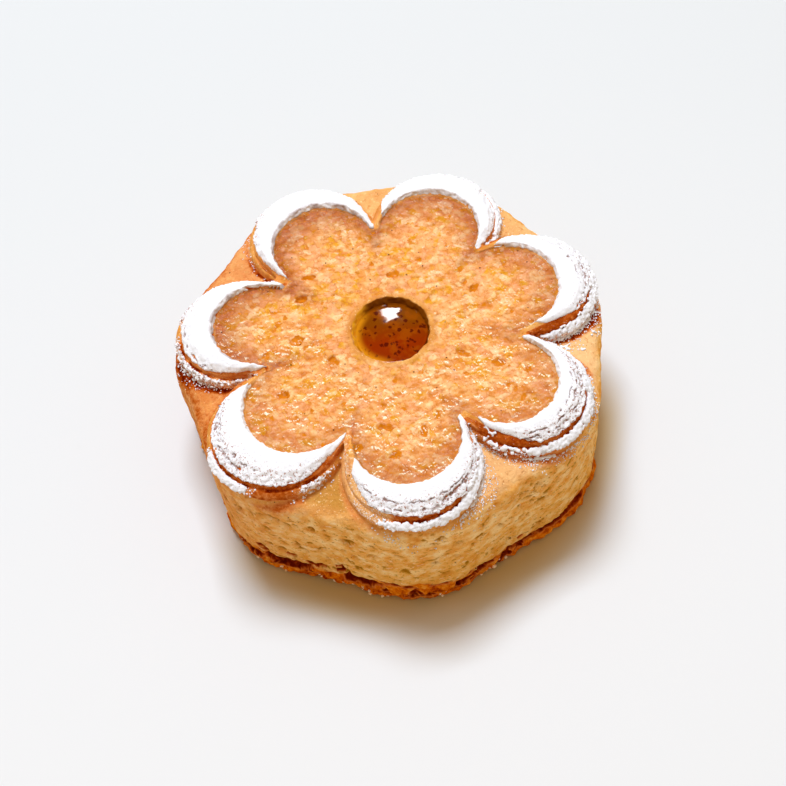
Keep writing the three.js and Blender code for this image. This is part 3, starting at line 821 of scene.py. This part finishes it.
shader.inputs["IOR"].default_value = 1.5
jam.data.materials.append(gel_stuff)
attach(jam, "root")
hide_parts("jam")

# Icing sugar lies thick on each petal's roll, sifted through a stencil: fine white powder,
# crisp along the field, cracked in places and crumbling away at the outer edge.
SUGAR_VOXEL = 0.17
SUNK_INTO_ROLL = 0.3
CRACK_DEPTH = 0.35
CRACKS = (  # petal, from and to as shares of the half petal, share of the roll's width, width
    (0, -0.75, 0.15, 0.84, 0.05),
    (0, -0.60, 0.25, 0.70, 0.04),
    (1, -0.60, 0.60, 0.64, 0.035),
    (1, 0.25, 0.75, 0.78, 0.06),
    (1, -0.30, 0.40, 0.84, 0.04),
    (2, -0.65, 0.60, 0.80, 0.045),
    (2, -0.55, 0.50, 0.64, 0.045),
    (2, -0.30, 0.45, 0.46, 0.035),
    (3, -0.60, 0.30, 0.82, 0.045),
    (3, -0.20, 0.40, 0.60, 0.035),
    (6, 0.10, 0.70, 0.86, 0.05),
)
# One value for each petal: how far the outer edge crumbles, how thickly bare dots show, and how
# strongly the wall beside the field shows bare dough and painted shade.
CRUMBLING = (1, 1, 1, 1, 1, 1, 0.3)
DOTTED = (0.9, 0.9, 0.9, 0.5, 0.2, 0.2, 0.2)
BARE_AND_SHADED_WALLS = (0.0, 0.0, 0.0, 0.1, 0.15, 0.6, 0.5)
SIEVE_DOT = tint(158, 92, 58)
BARE_DOUGH = tint(140, 96, 78)
powder, tree, shader = material("icing_sugar")
spot = here(tree)
white = ramp(tree, cloud(tree, 0.5, spot, 4.0, 0.7), (0.3, tint(226, 225, 232)), (0.5, tint(243, 242, 246)))
sieve = maths(tree, "MULTIPLY_ADD", painted(tree, "thin"), -0.16, 0.72)
sieve = maths(tree, "SUBTRACT", cloud(tree, 0.42, spot, 3.0, 0.7), sieve)
white = brushed(tree, white, SIEVE_DOT, sieve, 0.0, 0.05, 0.85)
white = mixed(tree, painted(tree, "bare"), white, BARE_DOUGH)
tree.links.new(white, shader.inputs["Base Color"])
shader.inputs["Roughness"].default_value = 0.95
shader.inputs["Specular IOR Level"].default_value = 0.1
grit = cloud(tree, 0.3, spot, 3.0, 0.7)
bump = node(tree, "Bump", {"Height": grit, "Strength": 0.5, "Distance": 0.2 * MM})
tree.links.new(bump.outputs["Normal"], shader.inputs["Normal"])
for index in range(len(PETALS)):
    number = index + 1
    sugar = copy_of(f"sugar_{number}", f"rim_sugar_{number}")
    under = places(sugar.data)
    under[facings(sugar.data)[:, 2] < -0.3, 2] -= SUNK_INTO_ROLL
    put_back(sugar.data, under)
    finish_with(sugar, "REMESH", mode="VOXEL", voxel_size=SUGAR_VOXEL * MM)
    bpy.ops.object.shade_smooth()
    heap = places(sugar.data)
    heap_plan = on_flower(heap)
    across = heap_plan["across"]
    outer = ease(across, 0.5, 0.95)
    borders = np.maximum(outer, 1 - ease(across, 0.02, 0.22))
    powdery = 0.09 * lumps(heap, 1.2, 30 + number) + (0.06 + 0.13 * borders) * lumps(heap, 0.6, 40 + number)
    crumble = np.maximum(lumps(heap, 0.9, 50 + number) + 0.12, 0) * 0.6 * outer * CRUMBLING[index]
    bare = np.zeros(len(heap))
    broken = layered(heap, (1, 1.3, 60 + number), (0.6, 0.5, 70 + number))
    for cracked, start, stop, where, width in CRACKS:
        if cracked == index:
            run = band(heap_plan["share"], start - 0.06, start + 0.04, stop - 0.04, stop + 0.06)
            wavering = np.abs(across - where + 0.09 * broken)
            line = 1 - ease(wavering, width * 0.3, width * 0.8)
            bare = np.maximum(bare, run * line * ease(broken, -0.05, 0.1))
    heap += facings(sugar.data) * (powdery - crumble - CRACK_DEPTH * bare)[:, None]
    put_back(sugar.data, heap)
    dotted = ease(across, 0.2, 0.6) * DOTTED[index]
    attribute(sugar.data, "thin", 0.1 + np.maximum(0.8 * outer, dotted))
    # Painted shade with bare dough showing: brownish grey on the inner walls, most on the far petals.
    inner_wall = (1 - ease(across, 0.0, 0.10)) * ease(lumps(heap, 1.8, 90 + number), -0.5, 0.4)
    attribute(sugar.data, "bare", np.maximum(bare * 0.9, BARE_AND_SHADED_WALLS[index] * inner_wall))
    sugar.data.materials.append(powder)
    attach(sugar, "root")
    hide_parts(f"sugar_{number}")

# Sugar that slid off the rolls lies on the ledges below them, thinner, in beads and clumps
# that stick to each other.
LEDGE_VOXEL = 0.14
LEDGE_BEAD = (0.20, 0.46)
SPILLED_BEAD = (0.16, 0.36)
LOWEST_LEDGE = 26.5
LOWEST_SPILL = 22
CLEAR_OF_CAKE = 60
LEDGE_RUNS = (  # petal, from and to as shares of the half petal, beads, from where across the ledge
    (0, -0.34, 0.05, 240, 0.25),
    (0, 0.05, 0.24, 90, 0.2),
    (0, 0.74, 0.95, 50, 0.35),
    (1, -0.42, -0.28, 30, 0.3),
    (1, -0.30, 0.48, 340, 0.18),
    (1, 0.45, 0.95, 420, -0.3),
    (2, -0.60, -0.30, 120, 0.05),
    (2, -0.30, 0.30, 340, 0.1),
    (2, 0.30, 0.92, 440, -0.3),
    (3, -0.95, -0.30, 360, -0.15),
    (3, -0.30, 0.55, 380, -0.3),
    (4, -0.95, -0.45, 220, 0.0),
    (4, -0.45, 0.50, 200, 0.0),
    (5, -0.50, 0.40, 180, 0.0),
    (6, -0.92, -0.15, 300, -0.3),
    (6, 0.15, 0.95, 120, 0.3),
    (2, -0.90, -0.58, 70, 0.15),
)
SPILLS = (  # x, y from the flower's middle, spread, beads
    (15.9, -24.9, 0.7, 26),
    (32.7, -6.1, 0.6, 16),
    (35.7, -6.5, 0.5, 9),
    (38.4, -2.8, 0.5, 9),
)
THIN_LEDGES = (  # petal, from where on as a share of the half petal the sugar is thin
    (0, 0.42),
    (5, 0.3),
    (6, -math.inf),
)
bpy.ops.object.select_all(action="DESELECT")
bpy.ops.mesh.primitive_ico_sphere_add(subdivisions=1, radius=1, location=(0, 0, 0))
bead = bpy.context.object
bead_points = np.array([v.co for v in bead.data.vertices])
bead_faces = np.array([f.vertices for f in bead.data.polygons])
bpy.data.objects.remove(bead)


def settled(x, y):
    """Where something dropped at x, y (mm from the flower's middle) comes to lie on the cake."""
    start = Vector((np.array([x, y, CLEAR_OF_CAKE]) + flower_middle) * MM)
    landed, normal, _, _ = cake_surface.ray_cast(start, Vector((0, 0, -1)))
    return (None, None) if landed is None else (np.array(landed) / MM - flower_middle, np.array(normal))


def settled_by(petal, share, away):
    """The same for a place at a share of the half petal and a distance from the flower's middle."""
    bearing = math.radians(PETALS[petal, 0]) + share * HALF_PETAL
    return settled(away * math.cos(bearing), away * math.sin(bearing))


def add_bead(heap, where, normal, lowest, sizes, proud):
    """Adds a bead of some size to a heap, standing proud by a share of it, if it lies high enough."""
    if where is not None and where[2] > lowest:
        size = draw.uniform(*sizes)
        heap.append((where + normal * size * proud, size))


def beads(name, heap, squash, bumpy):
    """A heap of small beads as one mesh, each turned and dented in its own way."""
    points, faces = [], []
    for index, (centre, size) in enumerate(heap):
        spin, _ = np.linalg.qr(draw.normal(size=(3, 3)))
        spin *= np.sign(np.linalg.det(spin))
        shape = bead_points * (1 + bumpy * draw.uniform(-1, 1, (len(bead_points), 1)))
        shape = (shape @ spin) * [1, 1, squash] * size
        points.append((shape + centre + flower_middle) * MM)
        faces.append(bead_faces + index * len(bead_points))
    made = bpy.data.meshes.new(name)
    made.from_pydata(np.concatenate(points).tolist(), [], np.concatenate(faces).tolist())
    return new_piece(name, made)


slid = []
for lobe, start, stop, count, inner in LEDGE_RUNS:
    for _ in range(count):
        along = draw.uniform(start, stop)
        edges = petal_edges(lobe, along * HALF_PETAL)
        away = edges["roll"] + (edges["ledge"] - edges["roll"]) * draw.uniform(inner, 1.0)
        add_bead(slid, *settled_by(lobe, along, away), LOWEST_LEDGE, LEDGE_BEAD, 0.35)
for x, y, spread, count in SPILLS:
    for _ in range(count):
        where, normal = settled(draw.normal(x, spread), draw.normal(y, spread))
        add_bead(slid, where, normal, LOWEST_SPILL, SPILLED_BEAD, 0.3)
ledge_sugar = beads("ledge_sugar", slid, 0.75, 0.25)
finish_with(ledge_sugar, "REMESH", mode="VOXEL", voxel_size=LEDGE_VOXEL * MM)
finish_with(ledge_sugar, "SMOOTH", factor=0.5, iterations=1)
bpy.ops.object.shade_smooth()
clumps = places(ledge_sugar.data)
clumps += facings(ledge_sugar.data) * (0.05 * lumps(clumps, 0.5, 80))[:, None]
put_back(ledge_sugar.data, clumps)
clump_plan = on_flower(clumps)
thin = np.full(len(clumps), 0.45)
for lobe, start in THIN_LEDGES:
    thin[(clump_plan["petal"] == lobe) & (clump_plan["share"] > start)] = 1.15
attribute(ledge_sugar.data, "thin", thin)
attribute(ledge_sugar.data, "bare", np.zeros(len(clumps)))
ledge_sugar.data.materials.append(powder)
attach(ledge_sugar, "root")

# Single grains of sugar, scattered where the sifter missed: over the ledges' edges, the
# shoulders beside them and the rolls' outer walls.
LEDGE_GRAIN = (0.07, 0.2)
SHOULDER_GRAIN = (0.05, 0.15)
LOWEST_GRAIN = 20
SHOULDER_DUST = (  # petal, from and to as shares of the half petal, how far past the ledge, grains
    (1, 0.50, 1.00, 5.5, 380),
    (2, -1.00, -0.60, 3.0, 150),
    (2, -0.50, 0.10, 2.2, 160),
    (3, -1.00, -0.35, 4.5, 200),
    (5, 0.50, 1.00, 3.0, 60),
    (6, 0.30, 1.00, 3.0, 120),
)
sifted = []
for lobe, start, stop, count, _ in LEDGE_RUNS:
    for _ in range(count):
        along = draw.uniform(start - 0.08, stop + 0.08)
        away = petal_edges(lobe, along * HALF_PETAL)["ledge"] + abs(draw.normal(0, 1.0)) - 1.2
        add_bead(sifted, *settled_by(lobe, along, away), LOWEST_GRAIN, LEDGE_GRAIN, 0.5)
for lobe, start, stop, reach, count in SHOULDER_DUST:
    for _ in range(count):
        along = draw.uniform(start, stop)
        away = petal_edges(lobe, along * HALF_PETAL)["ledge"] + reach * draw.random() ** 1.6 - 0.3
        add_bead(sifted, *settled_by(lobe, along, away), LOWEST_GRAIN, SHOULDER_GRAIN, 0.4)
grains_piece = beads("sugar_grains", sifted, 1.0, 0.3)
for name in ("thin", "bare"):
    attribute(grains_piece.data, name, np.zeros(len(grains_piece.data.vertices)))
grains_piece.data.materials.append(powder)
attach(grains_piece, "root")

# Crumbs of dough and flour hang on the base crust, most of them along the front left edge.
# They are loose bits of the cake itself, and rest against it where they stuck.
CRUMB_SIZES = (0.15, 0.42)
CRUMB_RISE = 1.6
CRUMB_LOTS = (  # crumbs, the bearing of their middle, spread in degrees
    (46, -120, 22),
    (14, -60, 25),
    (40, 90, 80),
)
fallen = []
for count, middle, spread in CRUMB_LOTS:
    for _ in range(count):
        bearing = math.radians(draw.normal(middle, spread))
        size = draw.uniform(*CRUMB_SIZES)
        level = size + CRUMB_RISE * draw.random() ** 2
        outward = np.array([math.cos(bearing), math.sin(bearing), 0])
        start = Vector((outward * CLEAR_OF_CAKE + flower_middle + [0, 0, level]) * MM)
        landed, _, _, _ = cake_surface.ray_cast(start, Vector(-outward))
        fallen.append((np.array(landed) / MM - flower_middle + outward * size * 0.3, size))
crumbs = beads("base_crumbs", fallen, 0.8, 0.35)
bpy.ops.object.shade_smooth()
flour, tree, shader = material("pale_crumb")
crumb_colour = ramp(tree, cloud(tree, 1.0, here(tree), 2.0),
                    (0.35, tint(236, 190, 128)), (0.6, tint(255, 238, 214)))
tree.links.new(crumb_colour, shader.inputs["Base Color"])
shader.inputs["Roughness"].default_value = 0.85
crumbs.data.materials.append(flour)
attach(crumbs, "root")

# Floor: a pale paper sweep, a little darker towards the back as painted shade. Close in front of
# the cake it is painted with a warm shadow, standing in for shade and the cake's bounced light.
NEAR_PAPER = (0.75, 0.75, 0.76, 1)
SHADED_FAR_PAPER = (0.66, 0.67, 0.68, 1)
WARM_SHADOW_PAPER = (0.64, 0.50, 0.22, 1)
bpy.ops.object.select_all(action="DESELECT")
bpy.ops.mesh.primitive_plane_add(size=4, location=(0, 0, 0))
floor = bpy.context.object
floor.name = "floor"
sweep, tree, shader = material("pale_sweep")
spot = here(tree)
across_floor, along_floor = (node(tree, "SeparateXYZ", {"Vector": spot}).outputs[axis] for axis in "XY")
paper = ramp(tree, between(tree, along_floor, -0.10, 0.14), (0.0, NEAR_PAPER), (1.0, SHADED_FAR_PAPER))
# Painted shadow and bounced light: a warm darkening close in front of the cake's base.
painted_warm_shadow = node(tree, "VectorMath", {0: spot}, operation="LENGTH").outputs["Value"]
painted_warm_shadow = between(tree, painted_warm_shadow, 39 * MM, 47 * MM, 0.9, 0.0)
in_front = maths(tree, "MULTIPLY_ADD", across_floor, 0.4, maths(tree, "MULTIPLY", along_floor, -1.0))
painted_warm_shadow = maths(tree, "MULTIPLY", painted_warm_shadow, between(tree, in_front, 2 * MM, 24 * MM))
paper = mixed(tree, painted_warm_shadow, paper, WARM_SHADOW_PAPER)
tree.links.new(paper, shader.inputs["Base Color"])
shader.inputs["Specular IOR Level"].default_value = 0.0
shader.inputs["Roughness"].default_value = 0.9
floor.data.materials.append(sweep)

# Light: one soft cool light overhead, a little behind, in a warm bright room. Small windows
# only glint in the jam and the glaze. Places are metres, powers watts.
ROOM_COLOUR = (1, 0.77, 0.51, 1)
ROOM_STRENGTH = 0.5
KEY_COLOUR = (0.76, 0.875, 1.0)
WINDOWS = (  # name, place, size, power, roll in degrees
    ("low_window", (0.3, 1.1, 0.33), (0.5, 0.05), 2.5, 0),
    ("front_window", (0.12, -0.46, 0.92), (0.15, 0.15), 1.5, 0),
    ("window", (0.03, 0.855, 0.705), (0.14, 0.17), 1.8, 18),
    ("window_right", (0.79, 0.61, 0.49), (0.10, 0.10), 0.5, 0),
    ("window_side", (-0.76, 0.0, 0.80), (0.04, 0.14), 0.4, 0),
)
world = bpy.data.worlds.new("bright_room")
bpy.context.scene.world = world
world.use_nodes = True
world.node_tree.nodes["Background"].inputs["Color"].default_value = ROOM_COLOUR
world.node_tree.nodes["Background"].inputs["Strength"].default_value = ROOM_STRENGTH
world.cycles_visibility.glossy = False


def lamp(name, at, aim, size, power, roll=0.0):
    """A rectangular lamp at a place, aimed at another."""
    data = bpy.data.lights.new(name, "AREA")
    data.shape = "RECTANGLE"
    data.size, data.size_y = size
    data.energy = power
    made = bpy.data.objects.new(name, data)
    bpy.context.scene.collection.objects.link(made)
    made.location = at
    facing_aim = (Vector(aim) - Vector(at)).to_track_quat("-Z", "Y").to_matrix()
    made.rotation_euler = (facing_aim @ Matrix.Rotation(math.radians(roll), 3, "Z")).to_euler()
    return made


key = lamp("soft_key", (-0.06, 0.30, 0.98), (0, 0, 0.02), (0.36, 0.30), 11.6)
key.visible_glossy = False
key.data.color = KEY_COLOUR
for name, at, size, power, roll in WINDOWS:
    window = lamp(name, at, (0, 0, 0.03), size, power, roll)
    window.visible_diffuse = False

# Camera at the photograph's place: from the front, 56 degrees up and leaning 7 degrees. Its
# place and its focal length were fitted to the petals, the eye and the base edge.
ELEVATION = math.radians(56.11)
LEAN = math.radians(-7.09)
DISTANCE = 290.16
AIM = (-0.37, -14.59, 31.4)  # from the flower's middle
IMAGE_PIXELS = 786
FOCAL_PIXELS = 1600
SENSOR = 36
bpy.context.scene.view_settings.view_transform = "Standard"
back = np.array([0, -math.cos(ELEVATION), math.sin(ELEVATION)])
right, up = np.array([1.0, 0, 0]), np.array([0, math.sin(ELEVATION), math.cos(ELEVATION)])
across_view = math.cos(LEAN) * right + math.sin(LEAN) * up
up_view = math.cos(LEAN) * up - math.sin(LEAN) * right
camera_data = bpy.data.cameras.new("camera")
camera_data.sensor_width = SENSOR
camera_data.lens = FOCAL_PIXELS / IMAGE_PIXELS * SENSOR
camera = bpy.data.objects.new("camera", camera_data)
bpy.context.scene.collection.objects.link(camera)
camera_turn = Matrix((across_view, up_view, back)).transposed().to_4x4()
camera_place = (np.array(AIM) + flower_middle + back * DISTANCE) * MM
camera.matrix_world = Matrix.Translation(Vector(camera_place)) @ camera_turn
bpy.context.scene.camera = camera
